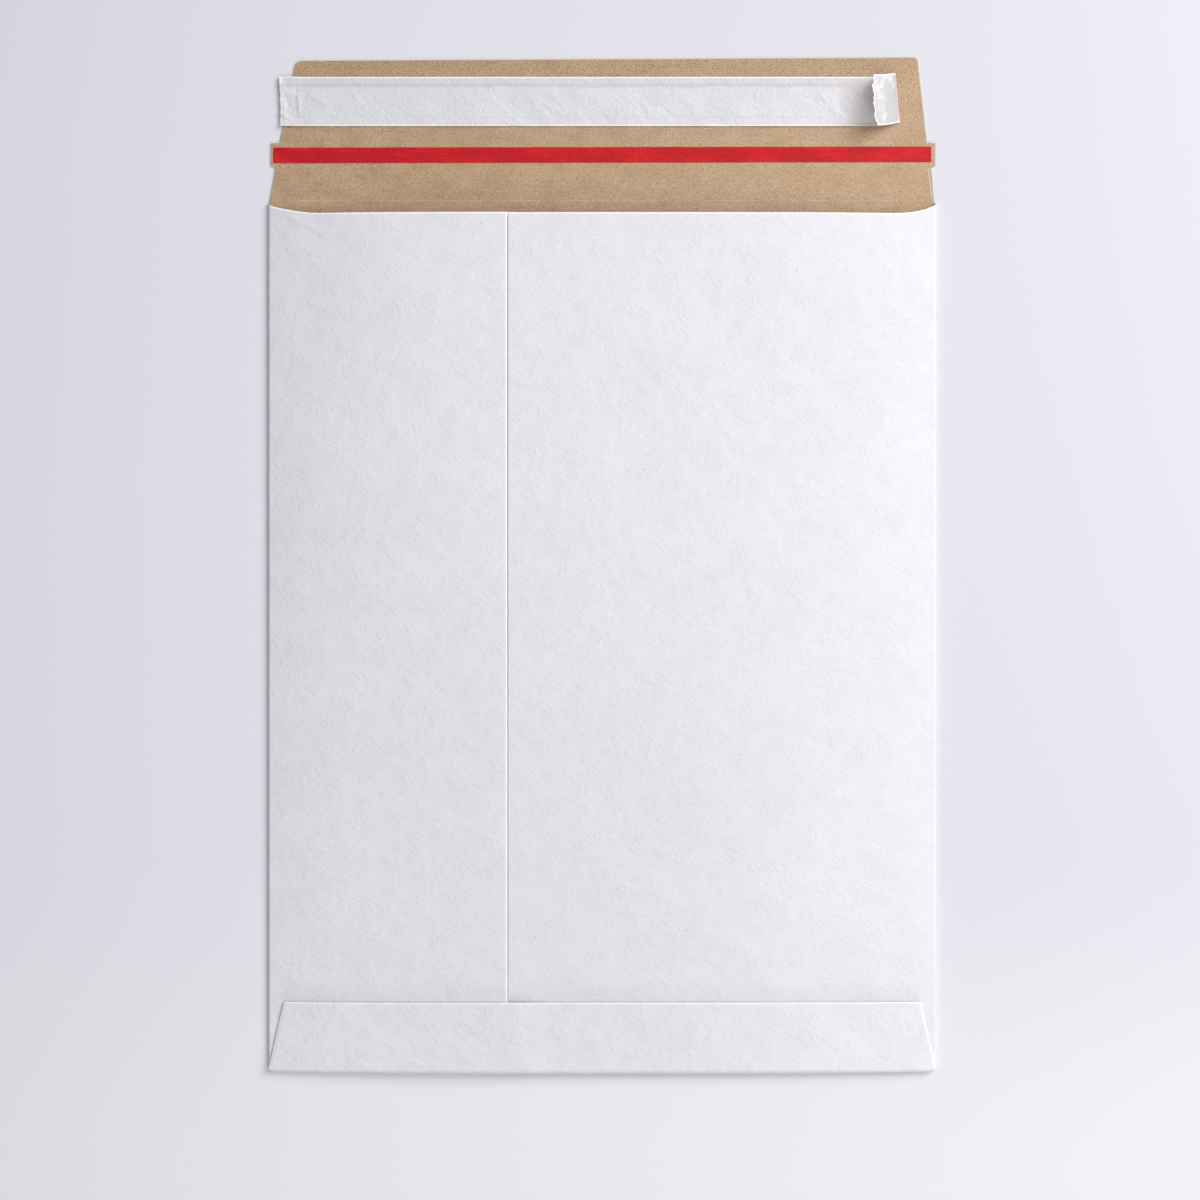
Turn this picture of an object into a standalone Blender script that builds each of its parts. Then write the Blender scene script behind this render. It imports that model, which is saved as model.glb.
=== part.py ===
"""Calendar envelope of solid board, lying on its address side with the closing flap open.

One blank is folded into a flat pocket: a back panel, two side panels that overlap in a glued
seam, and a bottom flap glued over both. The closing flap carries a tear tape and an adhesive
strip under a release liner, whose end is folded back as a pull tab.

X runs along the width, Y from the bottom fold to the closing flap, Z up off the table.
"""

import math

import bpy
from mathutils import Vector

# Board and pocket, in metres
BOARD = 0.0006
LAYER_GAP = 0.0003
BODY_WIDTH = 0.250
BODY_HEIGHT = 0.326
FOLD_GAP = 0.0008
PUFF_BOTTOM = 0.0015
PUFF_MOUTH = 0.0046
PUFF_POWER = 4

# Side seam: the left panel lies on the right one
LEFT_PANEL_WIDTH = 0.0892
SEAM_OVERLAP = 0.020
PANEL_RELIEF = 0.0006

# Mouth: the front is cut below the crease, and rises to it at both ends
THROAT_DROP = 0.0049
THROAT_END_DROP = 0.00175
THROAT_CURVE = 0.018

# Bottom flap, wrapped round the bottom fold
BOTTOM_FLAP_HEIGHT = 0.0263
BOTTOM_FLAP_INSET = 0.0056
BOTTOM_REACH = 0.0012
BOTTOM_BOW = 0.00075
SEAM_BRIDGE = 0.018

# Closing flap, with heights measured from its crease
CREASE_GAP = 0.0003
FLAP_SHOULDER = 0.0006
FLAP_HEIGHT = 0.0526
FLAP_SKEW = 0.0013
FLAP_LEFT_INSETS = (0.0017, 0.0033, 0.0093)
FLAP_RIGHT_INSETS = (0.0014, 0.0027, 0.0062)
FLAP_CORNER_RADIUS = 0.0020
TEAR_TAB_SLANT = 0.0010

# Tear tape
TAPE_LOW = 0.0143
TAPE_WIDTH = 0.0058
TAPE_RISE = 0.0004
TAPE_THICKNESS = 0.00012
TAPE_END_INSET = 0.0012
TEAR_MARGIN_BELOW = 0.0009
TEAR_MARGIN_ABOVE = 0.0013

# Adhesive strip and its release liner
TRIM_GAP = 0.0001
ADHESIVE_FROM_EDGE = 0.0107
ADHESIVE_WIDTH = 0.0105
ADHESIVE_THICKNESS = 0.00015
ADHESIVE_LEFT_MARGIN = 0.011
ADHESIVE_RIGHT_MARGIN = 0.037
LINER_BELOW = 0.0033
LINER_ABOVE = 0.0047
LINER_THICKNESS = 0.0001
LINER_LEFT_MARGIN = 0.0039
LINER_FOLD_MARGIN = 0.0145
LINER_FOLD_SKEW = 0.0018
PULL_TAB_LENGTH = 0.008
PULL_TAB_RISE = math.radians(11)
PULL_TAB_LOOP = 0.0005

# Glue lines, in the gaps between the layers
GLUE_THICKNESS = 0.0001
SEAM_GLUE_WIDTH = 0.012
SEAM_GLUE_END = 0.008
BOTTOM_GLUE_WIDTH = 0.012
BOTTOM_GLUE_FROM_EDGE = 0.006
BOTTOM_GLUE_END = 0.012

# Facets
ROWS = 14
COLUMN_WIDTH = 0.010
ARC_STEPS = 7
CORNER_STEPS = 4

# Sizes that follow
LAYER = BOARD + LAYER_GAP
HALF_WIDTH = BODY_WIDTH / 2
SIDE_RADIUS = (FOLD_GAP + BOARD) / 2
SIDE_X = HALF_WIDTH - SIDE_RADIUS - BOARD / 2
BACK_Z = BOARD / 2
FRONT_Z = BACK_Z + FOLD_GAP + BOARD
FOLD_Y = BOTTOM_REACH + BOARD / 2
SEAM_X = LEFT_PANEL_WIDTH - HALF_WIDTH
HIDDEN_EDGE_X = SEAM_X - SEAM_OVERLAP
TAB_LOW = TAPE_LOW - TEAR_MARGIN_BELOW
TAB_TOP = TAPE_LOW + TAPE_WIDTH + TAPE_RISE + TEAR_MARGIN_ABOVE
ADHESIVE_LOW = FLAP_HEIGHT - ADHESIVE_FROM_EDGE - ADHESIVE_WIDTH
TRIM_STACK = 2 * TRIM_GAP + ADHESIVE_THICKNESS + LINER_THICKNESS
STACK_TOP = FRONT_Z + BOARD / 2 + PUFF_MOUTH + LAYER
AXIS_Z = (STACK_TOP + LAYER_GAP + TRIM_STACK + BOARD) / 2
MIDDLE_Y = (BODY_HEIGHT + FLAP_HEIGHT + FLAP_SKEW - BOTTOM_BOW) / 2


def clear_scene():
    for thing in list(bpy.data.objects):
        bpy.data.objects.remove(thing)


def material(name, colour, roughness):
    made = bpy.data.materials.new(name)
    made.use_nodes = True
    shader = made.node_tree.nodes["Principled BSDF"]
    shader.inputs["Base Color"].default_value = (*colour, 1)
    shader.inputs["Roughness"].default_value = roughness
    shader.inputs["Metallic"].default_value = 0
    return made


def empty(name, location, parent=None):
    made = bpy.data.objects.new(name, None)
    made.empty_display_size = 0.02
    made.location = location
    made.parent = parent
    bpy.context.scene.collection.objects.link(made)
    return made


def mesh_object(name, points, faces, materials, parent):
    mesh = bpy.data.meshes.new(name)
    mesh.from_pydata(points, [], faces)
    mesh.validate()
    for each in materials:
        mesh.materials.append(each)
    mesh.shade_smooth()
    mesh.set_sharp_from_angle(angle=math.radians(30))
    made = bpy.data.objects.new(name, mesh)
    made.parent = parent
    bpy.context.scene.collection.objects.link(made)
    return made


def thicken(thing, thickness):
    """Gives a sheet its thickness, half to each side, with the second material on its inside."""
    solid = thing.modifiers.new("Thickness", "SOLIDIFY")
    solid.thickness = thickness
    solid.offset = 0
    solid.use_even_offset = True
    solid.material_offset = len(thing.data.materials) - 1
    thing.modifiers.new("Flat faces stay flat", "WEIGHTED_NORMAL")
    return thing


def grid_faces(lines, first=0):
    """Quads between neighbouring lines of points, each line as long as the others."""
    count = len(lines[0])
    faces = []
    for i in range(len(lines) - 1):
        for j in range(count - 1):
            corner = first + i * count + j
            faces.append((corner, corner + count, corner + count + 1, corner + 1))
    return faces


def strip(name, lines, thickness, look, parent):
    """A thin piece from lines of points that run along Y, ordered from left to right."""
    points = [point for line in lines for point in line]
    return thicken(mesh_object(name, points, grid_faces(lines), [look], parent), thickness)


def spread(start, end, count):
    return [start + (end - start) * i / (count - 1) for i in range(count)]


def mix(start, end, share):
    return start + (end - start) * share


def smooth(share):
    share = min(max(share, 0), 1)
    return share * share * (3 - 2 * share)


def puff(y):
    """Height of the front's crown over its side folds."""
    rise = 1 - (1 - min(max(y / BODY_HEIGHT, 0), 1)) ** 3
    return mix(PUFF_BOTTOM, PUFF_MOUTH, rise)


def arch(x, crown):
    return crown * (1 - abs(x / SIDE_X) ** PUFF_POWER)


def right_panel_z(x, y):
    return FRONT_Z + arch(x, puff(y))


def left_panel_z(x, y):
    """The left panel's crown stands one layer higher, because it lies on the right panel."""
    return FRONT_Z + arch(x, puff(y) + LAYER)


def bottom_flap_z(x, y):
    """One layer over whichever panel is on top, coming down gently right of the seam."""
    lift = 1 - smooth((x - SEAM_X - BOARD) / SEAM_BRIDGE)
    return FRONT_Z + LAYER + arch(x, puff(y) + LAYER * lift)


def throat_y(x):
    """Height of the front's cut edge at the mouth."""
    past = max(0, abs(x) - (HALF_WIDTH - THROAT_CURVE)) / THROAT_CURVE
    return BODY_HEIGHT - mix(THROAT_DROP, THROAT_END_DROP, past**2)


def stations(start, end):
    """Places along X from start to end, shared by every layer so that their facets lie parallel."""
    count = 2 * round(SIDE_X / COLUMN_WIDTH) + 1
    places = spread(-SIDE_X, SIDE_X, count)
    places += spread(SEAM_X + BOARD, SEAM_X + BOARD + SEAM_BRIDGE, 5)
    places += [SEAM_X, HIDDEN_EDGE_X]
    for side in (-1, 1):
        places += spread(side * (HALF_WIDTH - THROAT_CURVE), side * SIDE_X, 6)
    apart = COLUMN_WIDTH / 5
    chosen = [start]
    for place in sorted(places):
        if place - chosen[-1] > apart and end - place > apart:
            chosen.append(place)
    return [*chosen, end]


def back_line(x):
    return [Vector((x, y, BACK_Z)) for y in spread(FOLD_Y, BODY_HEIGHT - CREASE_GAP / 2, ROWS)]


def panel_line(x, height):
    return [Vector((x, y, height(x, y))) for y in spread(FOLD_Y + PANEL_RELIEF, throat_y(x), ROWS)]


def side_fold_lines(side, lift):
    """Lines round a side fold, from the back panel to where the front's slope takes over."""
    lines = []
    for share in spread(0, 1, ARC_STEPS + 1)[1:]:
        low = FOLD_Y + PANEL_RELIEF * share
        high = BODY_HEIGHT - mix(CREASE_GAP / 2, THROAT_END_DROP, share)
        line = []
        for y in spread(low, high, ROWS):
            slope = math.atan(PUFF_POWER * (puff(y) + lift) / SIDE_X)
            angle = (math.pi - slope) * share
            x = side * (SIDE_X + SIDE_RADIUS * math.sin(angle))
            line.append(Vector((x, y, BACK_Z + SIDE_RADIUS * (1 - math.cos(angle)))))
        lines.append(line)
    return lines


def slanted_x(x, y):
    """The bottom flap's ends slant inwards: its outer stretches narrow, the rest stays."""
    slant = BOTTOM_FLAP_INSET * (y - FOLD_Y) / (BOTTOM_FLAP_HEIGHT - FOLD_Y)
    stretch = 3 * BOTTOM_FLAP_INSET
    past = max(0, abs(x) - (SIDE_X - stretch)) / stretch
    return x - math.copysign(slant * past, x)


def bottom_lines(places):
    """For each place on the back panel, points round the bottom fold and up the bottom flap."""
    lines = []
    for x in places:
        top = bottom_flap_z(x, FOLD_Y)
        reach = BOTTOM_REACH + BOTTOM_BOW * (1 - (x / SIDE_X) ** 2)
        line = []
        for share in spread(0, 1, ARC_STEPS + 1)[1:]:
            y = FOLD_Y - reach * math.sin(math.pi * share)
            z = mix(BACK_Z, top, (1 - math.cos(math.pi * share)) / 2)
            line.append(Vector((x, y, z)))
        for y in spread(FOLD_Y, BOTTOM_FLAP_HEIGHT, 4)[1:]:
            across = slanted_x(x, y)
            line.append(Vector((across, y, bottom_flap_z(across, y))))
        lines.append(line)
    return lines


def make_pocket(white, kraft, parent):
    """The folded blank: left panel, left fold, back, right fold and right panel side by side."""
    left = [panel_line(x, left_panel_z) for x in stations(-SIDE_X, SEAM_X)[:0:-1]]
    left_fold = side_fold_lines(-1, LAYER)[::-1]
    back_places = stations(-SIDE_X, SIDE_X)
    back = [back_line(x) for x in back_places]
    right_fold = side_fold_lines(1, 0)
    right = [panel_line(x, right_panel_z) for x in stations(HIDDEN_EDGE_X, SIDE_X)[-2::-1]]
    tube = left + left_fold + back + right_fold + right
    points = [point for line in tube for point in line]
    faces = [face[::-1] for face in grid_faces(tube)]

    first_back = ROWS * (len(left) + len(left_fold))
    wrap = bottom_lines(back_places)
    first_wrap = len(points)
    points += [point for line in wrap for point in line]
    wrap_faces = grid_faces(wrap, first_wrap)
    for i in range(len(wrap) - 1):
        here = first_back + i * ROWS
        under = first_wrap + i * len(wrap[0])
        wrap_faces.append((here, here + ROWS, under + len(wrap[0]), under))
    faces += wrap_faces
    return thicken(mesh_object("pocket", points, faces, [white, kraft], parent), BOARD)


def corner_arc(corner, before, after, radius):
    """Points of a round corner between two straight edges."""
    to_before = (before - corner).normalized()
    to_after = (after - corner).normalized()
    half = to_before.angle(to_after) / 2
    centre = corner + (to_before + to_after).normalized() * radius / math.sin(half)
    start = (corner + to_before * radius / math.tan(half) - centre).normalized()
    end = (corner + to_after * radius / math.tan(half) - centre).normalized()
    return [centre + start.slerp(end, share) * radius for share in spread(0, 1, CORNER_STEPS + 1)]


def flap_side(side, insets, top):
    """One edge of the closing flap from its crease up, and the place of its top corner.

    The insets are how far the edge has come in below the tear tab, above it and at the top.
    """
    outer = HALF_WIDTH - FLAP_SHOULDER
    below, above, at_top = insets
    edge = [
        (outer, CREASE_GAP / 2),
        (outer - below, TAB_LOW - TEAR_TAB_SLANT),
        (outer, TAB_LOW),
        (outer, TAB_TOP),
        (outer - above, TAB_TOP),
    ]
    points = [Vector((side * x, y, 0)) for x, y in edge]
    return points, Vector((side * (outer - at_top), top, 0))


def make_flap(white, kraft, parent):
    left, left_top = flap_side(-1, FLAP_LEFT_INSETS, FLAP_HEIGHT)
    right, right_top = flap_side(1, FLAP_RIGHT_INSETS, FLAP_HEIGHT + FLAP_SKEW)
    left_round = corner_arc(left_top, left[-1], right_top, FLAP_CORNER_RADIUS)
    right_round = corner_arc(right_top, left_top, right[-1], FLAP_CORNER_RADIUS)
    outline = left + left_round + right_round + right[::-1]
    level = BACK_Z - AXIS_Z
    points = [Vector((point.x, point.y, level)) for point in outline]
    faces = [tuple(range(len(points)))]
    return thicken(mesh_object("flap", points, faces, [white, kraft], parent), BOARD)


def make_tape(look, parent):
    level = BOARD + TRIM_GAP + TAPE_THICKNESS / 2 - AXIS_Z
    end = HALF_WIDTH - FLAP_SHOULDER - TAPE_END_INSET
    lines = []
    for x in (-end, end):
        low = TAPE_LOW + TAPE_RISE * (x + end) / (2 * end)
        lines.append([Vector((x, low, level)), Vector((x, low + TAPE_WIDTH, level))])
    return strip("tear_tape", lines, TAPE_THICKNESS, look, parent)


def make_adhesive(look, parent):
    level = BOARD + TRIM_GAP + ADHESIVE_THICKNESS / 2 - AXIS_Z
    heights = (ADHESIVE_LOW, ADHESIVE_LOW + ADHESIVE_WIDTH)
    ends = (ADHESIVE_LEFT_MARGIN - HALF_WIDTH, HALF_WIDTH - ADHESIVE_RIGHT_MARGIN)
    lines = [[Vector((x, y, level)) for y in heights] for x in ends]
    return strip("adhesive_strip", lines, ADHESIVE_THICKNESS, look, parent)


def make_liner(look, parent):
    """The liner runs over the adhesive, turns back in a small loop and ends in a lifted tab."""
    level = BOARD + TRIM_STACK - LINER_THICKNESS / 2 - AXIS_Z
    low = ADHESIVE_LOW - LINER_BELOW
    high = ADHESIVE_LOW + ADHESIVE_WIDTH + LINER_ABOVE
    fold_x = HALF_WIDTH - LINER_FOLD_MARGIN - PULL_TAB_LOOP
    left_x = LINER_LEFT_MARGIN - HALF_WIDTH
    path = [(left_x - fold_x, 0), (0, 0)]
    turn = math.pi - PULL_TAB_RISE
    for share in spread(0, 1, ARC_STEPS + 1)[1:]:
        angle = turn * share
        path.append((PULL_TAB_LOOP * math.sin(angle), PULL_TAB_LOOP * (1 - math.cos(angle))))
    x, z = path[-1]
    tab_run = PULL_TAB_LENGTH * math.cos(PULL_TAB_RISE)
    tab_lift = PULL_TAB_LENGTH * math.sin(PULL_TAB_RISE)
    path.append((x - tab_run, z + tab_lift))
    lines = []
    for i, (along, up) in enumerate(path):
        skew = 0 if i == 0 else LINER_FOLD_SKEW / 2
        ends = ((fold_x + along + skew, low), (fold_x + along - skew, high))
        lines.append([Vector((x, y, level + up)) for x, y in ends])
    return strip("release_liner", lines, LINER_THICKNESS, look, parent)


def make_seam_glue(look, parent):
    """The glue line lies half way between the two panels that it joins."""
    margin = (SEAM_OVERLAP - SEAM_GLUE_WIDTH) / 2
    lines = []
    for x in stations(HIDDEN_EDGE_X + margin, SEAM_X - margin):
        heights = spread(FOLD_Y + SEAM_GLUE_END, throat_y(x) - SEAM_GLUE_END, ROWS)
        lines.append([Vector((x, y, (left_panel_z(x, y) + right_panel_z(x, y)) / 2)) for y in heights])
    return strip("seam_glue", lines, GLUE_THICKNESS, look, parent)


def make_bottom_glue(look, parent):
    top = BOTTOM_FLAP_HEIGHT - BOTTOM_GLUE_FROM_EDGE
    end = SIDE_X - BOTTOM_GLUE_END
    lines = []
    for x in stations(-end, end):
        heights = spread(top - BOTTOM_GLUE_WIDTH, top, 3)
        lines.append([Vector((x, y, bottom_flap_z(x, y) - LAYER / 2)) for y in heights])
    return strip("bottom_flap_glue", lines, GLUE_THICKNESS, look, parent)


def main():
    clear_scene()
    white = material("coated white board", (0.80, 0.80, 0.83), 0.55)
    kraft = material("brown kraft inside", (0.48, 0.32, 0.20), 0.9)
    red = material("red tear tape", (0.58, 0.02, 0.03), 0.4)
    liner = material("white release liner", (0.78, 0.78, 0.81), 0.35)
    adhesive = material("clear adhesive", (0.72, 0.68, 0.60), 0.3)
    glue = material("dried glue", (0.70, 0.62, 0.48), 0.5)

    body = empty("envelope", (0, -MIDDLE_Y, 0))
    make_pocket(white, kraft, body)
    make_seam_glue(glue, body)
    make_bottom_glue(glue, body)

    flap_axis = empty("flap_axis", (0, BODY_HEIGHT, AXIS_Z), body)
    make_flap(white, kraft, flap_axis)
    make_tape(red, flap_axis)
    make_adhesive(adhesive, flap_axis)
    make_liner(liner, flap_axis)


main()
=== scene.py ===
import math
import random

import bpy
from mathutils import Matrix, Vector, kdtree, noise


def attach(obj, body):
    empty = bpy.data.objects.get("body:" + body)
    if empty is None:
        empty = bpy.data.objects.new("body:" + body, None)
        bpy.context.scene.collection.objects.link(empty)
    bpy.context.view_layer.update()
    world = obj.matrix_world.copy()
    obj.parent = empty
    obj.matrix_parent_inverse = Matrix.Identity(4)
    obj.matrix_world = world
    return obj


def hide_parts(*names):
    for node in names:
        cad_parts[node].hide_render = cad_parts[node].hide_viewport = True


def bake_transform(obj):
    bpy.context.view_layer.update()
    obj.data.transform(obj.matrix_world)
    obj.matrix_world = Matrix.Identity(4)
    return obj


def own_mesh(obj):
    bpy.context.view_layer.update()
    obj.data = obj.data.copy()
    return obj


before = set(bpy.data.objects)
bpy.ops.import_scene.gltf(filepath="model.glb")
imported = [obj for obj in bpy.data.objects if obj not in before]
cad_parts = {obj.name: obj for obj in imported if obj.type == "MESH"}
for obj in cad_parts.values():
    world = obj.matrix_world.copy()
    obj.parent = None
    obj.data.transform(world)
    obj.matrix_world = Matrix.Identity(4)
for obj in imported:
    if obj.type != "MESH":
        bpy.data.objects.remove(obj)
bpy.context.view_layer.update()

# The blank and its folds, in metres, with heights along Y measured from the bottom corners
BOARD = 0.0006
LAYER = 0.0009
HALF_WIDTH = 0.125
BODY_HEIGHT = 0.326
SIDE_RADIUS = 0.0007
SIDE_X = 0.1240
BACK_Z = 0.0003
FRONT_Z = 0.0017
FOLD_Y = 0.0015
PANEL_RELIEF = 0.0006
PUFF_BOTTOM = 0.0015
PUFF_MOUTH = 0.0046
SEAM_X = -0.0356
HIDDEN_EDGE_X = -0.0558
THROAT_DROP = 0.0049
THROAT_END_DROP = 0.00175
THROAT_CURVE = 0.018
BOTTOM_FLAP_HEIGHT = 0.0263
BOTTOM_FLAP_INSET = 0.0056
BOTTOM_REACH = 0.0012
BOTTOM_BOW = 0.00075
SEAM_BRIDGE = 0.018
CREASE_GAP = 0.0003
MIDDLE_Y = 0.189575
CREASE_Y = BODY_HEIGHT - MIDDLE_Y
BOARD_EDGE_ROUND = 0.00013

# Hollows that handling has left in the front: middle, width, length and depth
HOLLOWS = (
    (-0.104, 0.3135, 0.009, 0.011, 0.00030),
    (-0.112, 0.290, 0.006, 0.016, 0.00016),
    (0.112, 0.037, 0.007, 0.012, 0.00014),
)

# Glue lines between the layers
GLUE_THICKNESS = 0.0001
GLUE_EDGE_ROUND = 0.00003
GLUE_SPREAD = 0.0006
SEAM_GLUE_ENDS = (-0.0518, -0.0398)
SEAM_GLUE_MARGIN = 0.008
FLAP_GLUE_END_X = 0.112
FLAP_GLUE_BELOW_EDGE = (0.018, 0.006)

# The closing flap, with heights measured from its crease
FLAP_EDGE_X = 0.1244
FLAP_HEIGHT = 0.0526
FLAP_SKEW = 0.0013
FLAP_LEFT_INSETS = (0.0017, 0.0033, 0.0093)
FLAP_RIGHT_INSETS = (0.0016, 0.0032, 0.0068)
FLAP_LEFT_CORNER = 0.0021
FLAP_RIGHT_CORNER = 0.0014
FLAP_ASIDE = 0.0004
TAB_FOOT = 0.0124
TAB_LOW = 0.0134
TAB_TOP = 0.0218
TAB_STEP = 0.0001

# The tear tape, the gap under it, and the perforations on both sides of it
TAPE_LOW = 0.0143
TAPE_WIDTH = 0.0058
TAPE_RISE = 0.0004
TAPE_END_X = 0.1232
TAPE_THICKNESS = 0.00012
TRIM_GAP = 0.0001
TEAR_LINES = ((-0.1232, -0.0780), (0.1232, 0.0770))
TEAR_LINE_BELOW = 0.0011
TEAR_LINE_ABOVE = 0.0014

# The adhesive strip
ADHESIVE_LOW = 0.0314
ADHESIVE_TOP = 0.0419
ADHESIVE_ENDS = (-0.114, 0.088)
ADHESIVE_THICKNESS = 0.00015

# The liner, and how far in from its left end it is torn, curled and pleated
LINER_LOW = 0.0281
LINER_TOP = 0.0466
LINER_LEFT_X = -0.1211
LINER_FOLD_X = 0.110
LINER_FOLD_SKEW = 0.0018
LINER_THICKNESS = 0.0001
LINER_LEVEL = BOARD + 0.0004
LINER_DIP = 0.00018
LINER_LOWEST = 0.00028
TORN_REACH = 0.004
CURL_REACH = 0.009
PLEAT_REACH = 0.011

# The liner's right end, folded back as a pull tab
PULL_TAB_LENGTH = 0.0092
PULL_TAB_LOOP = 0.0005
PULL_TAB_LIFT = 0.0080

# Creases in the liner: a line between two places (x, height), its width and its rise
CREASES_SEEN = (
    ((-0.1140, 0.0408), (-0.1135, 0.0329), 0.00060, 0.00032),
    ((-0.1214, 0.0334), (-0.1162, 0.0304), 0.00070, 0.00045),
    ((-0.1214, 0.0404), (-0.1140, 0.0402), 0.00060, 0.00034),
    ((-0.1212, 0.0462), (-0.1190, 0.0410), 0.00090, 0.00040),
    ((-0.1185, 0.0396), (-0.1172, 0.0345), 0.00080, -0.00028),
    ((-0.1110, 0.0402), (-0.1010, 0.0350), 0.00090, 0.00020),
    ((-0.0932, 0.0402), (-0.0915, 0.0374), 0.00055, 0.00022),
    ((0.0815, 0.0400), (0.0845, 0.0368), 0.00060, 0.00024),
)
FAINT_CREASES = 26

# Where the board's finish and its painted shade and painted highlight change: along Y, and up Z for the front
# and the closed flap's outside
AT_MOUTH = (0.1290, 0.1300)
PAINTED_SHADE_LOW_SPAN = (0.045, -0.085)
PAINTED_SHADE_TO_FLAP_EDGE = (-0.1520, -0.1630)
OFF_BOTTOM_FLAP = (-0.16334, -0.16328)
HIGHLIGHT_AT_FLAP_EDGE = (-0.1622, -0.1630)
ON_BOTTOM_FLAP = (-0.1630, -0.1645)
ABOVE_BACK = (0.0009, 0.0012)
BELOW_CLOSED_FLAP = (0.0082, 0.0080)
COARSER_TO_FREE_EDGE = (0.1480, 0.1850)
AT_FREE_EDGE = (0.1825, 0.1865)

# Lines on the board, each from one place to another on the table: painted shade beside the seam, and lines
# pressed into the board
SEAM_SHADE_LINE = ((SEAM_X + 0.00034, -0.1628), (SEAM_X + 0.00034, 0.1316))
MOUTH_CREASE = ((-0.1220, 0.1325), (-0.1005, 0.1225))
DIE_LINE = ((0.1219, 0.1490), (0.1235, 0.1366))
SCORE_LINE = ((-0.1238, 0.1366), (0.1238, 0.1366))

# Where the liner's finish and its painted shadow and painted light beside the pull tab change: along X, and
# up Z for the pull tab's back
PAINTED_TAB_SHADOW_SPAN = (0.0855, 0.0935)
PAINTED_TAB_LIGHT_SPAN = (0.0945, 0.0990)
ON_PULL_TAB = (0.0985, 0.1000)
ABOVE_LINER = (0.0017, 0.0021)
TOWARDS_FOLD = (0.1025, 0.1085)

# Lights: name, place, what it points at, size, power and colour
LIGHTS = (
    ("window", (0.76, 0.46, 0.82), (0.05, -0.50, 0), 0.8, 12.2, (1.0, 0.985, 0.975)),
    ("ceiling", (-0.05, -0.10, 1.95), (0, 0, 0), 1.5, 5.5, (0.97, 0.98, 1.0)),
    ("reflector", (0.38, -0.72, 0.75), (0, -0.10, 0), 0.8, 3.5, (1.0, 0.99, 0.98)),
)
CAMERA_PLACE = (-0.00086, -0.0129, 1.062)

# Colours as linear red, green and blue, in pairs where a finish has two
BOARD_TONES = ((0.780, 0.774, 0.813), (0.807, 0.800, 0.836))
PULP_AND_HIGHLIGHT_TONES = ((0.925, 0.920, 0.925), (1.0, 0.995, 0.99))
KRAFT_TONES = ((0.472, 0.314, 0.192), (0.556, 0.382, 0.246))
KRAFT_GRAIN = ((0.30, 0.190, 0.112), (0.74, 0.555, 0.385))
KRAFT_FIBRES = ((0.25, 0.150, 0.086), (0.68, 0.510, 0.355))
TORN_TONES = ((0.66, 0.52, 0.38), (0.90, 0.78, 0.63))
CUT_TONES = ((0.40, 0.33, 0.27), (0.58, 0.50, 0.43))
RED_TONES = ((0.525, 0.0028, 0.0080), (0.665, 0.0072, 0.0142))
RED_GRAIN = ((0.38, 0.0020, 0.0055), (0.80, 0.022, 0.030))
LINER_TONES = ((0.724, 0.716, 0.751), (0.770, 0.762, 0.794))
TAB_BACK_AND_SHADE_TONES = ((0.660, 0.660, 0.675), (0.545, 0.545, 0.562))
TAB_DIMPLE_LIGHT_AND_SHADE = ((0.50, 0.50, 0.515), (0.86, 0.86, 0.87))
ADHESIVE_TONES = ((0.60, 0.55, 0.47), (0.72, 0.68, 0.60))
GLUE_TONES = ((0.56, 0.46, 0.32), (0.74, 0.66, 0.50))
TABLE_TONES = ((0.800, 0.796, 0.860), (0.810, 0.805, 0.868))
SOFT_SHADE = (0.66, 0.655, 0.69)

# Spacing of the sheet's columns and rows
COLUMN = 0.003
ROW = 0.004

# Layers of matted fibres: turn, stretch, size and weight of each
FELT_LAYERS = (
    (0.0, 3.2, 1.0, 0.40),
    (0.45, 2.2, 0.75, 0.26),
    (-0.55, 2.4, 1.25, 0.22),
    (1.3, 1.8, 0.6, 0.12),
)


# Sizes and places


def mix(start, end, share):
    return start + (end - start) * share


def smooth(share):
    share = min(max(share, 0), 1)
    return share * share * (3 - 2 * share)


def spread(start, end, count):
    return [mix(start, end, i / (count - 1)) for i in range(count)]


def even(start, end, step):
    return spread(start, end, max(2, round(abs(end - start) / step) + 1))


def ripple(x, y, size, seed):
    """Smooth unevenness between -1 and 1, with hollows about as wide as size."""
    return noise.noise(Vector((x / size, y / size, seed)))


def at_table(x, y, z):
    return Vector((x, y - MIDDLE_Y, z))


def on_flap(x, height, z):
    return Vector((x, BODY_HEIGHT + height - MIDDLE_Y, z))


# The pocket's layers


def puff(y):
    return mix(PUFF_BOTTOM, PUFF_MOUTH, 1 - (1 - min(max(y / BODY_HEIGHT, 0), 1)) ** 3)


def hollow(x, y, middle_x, middle_y, across, along, depth):
    return -depth * math.exp(-(((x - middle_x) / across) ** 2) - ((y - middle_y) / along) ** 2)


def handling(x, y):
    """Shallow hollows that handling has left in the front, the same in every layer of it."""
    inside = smooth((SIDE_X - abs(x)) / 0.014) * smooth((y - FOLD_Y) / 0.014)
    dents = 0.00008 * ripple(x, y, 0.052, 3.1) + 0.00005 * ripple(x, y * 1.3, 0.021, 7.7)
    for place in HOLLOWS:
        dents += hollow(x, y, *place)
    return dents * inside


def arch(x, crown):
    return crown * (1 - abs(x / SIDE_X) ** 4)


def right_panel_z(x, y):
    return FRONT_Z + arch(x, puff(y)) + handling(x, y)


def left_panel_z(x, y):
    return FRONT_Z + arch(x, puff(y) + LAYER) + handling(x, y)


def bottom_flap_z(x, y):
    lift = 1 - smooth((x - SEAM_X - BOARD) / SEAM_BRIDGE)
    return FRONT_Z + LAYER + arch(x, puff(y) + LAYER * lift) + handling(x, y)


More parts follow.
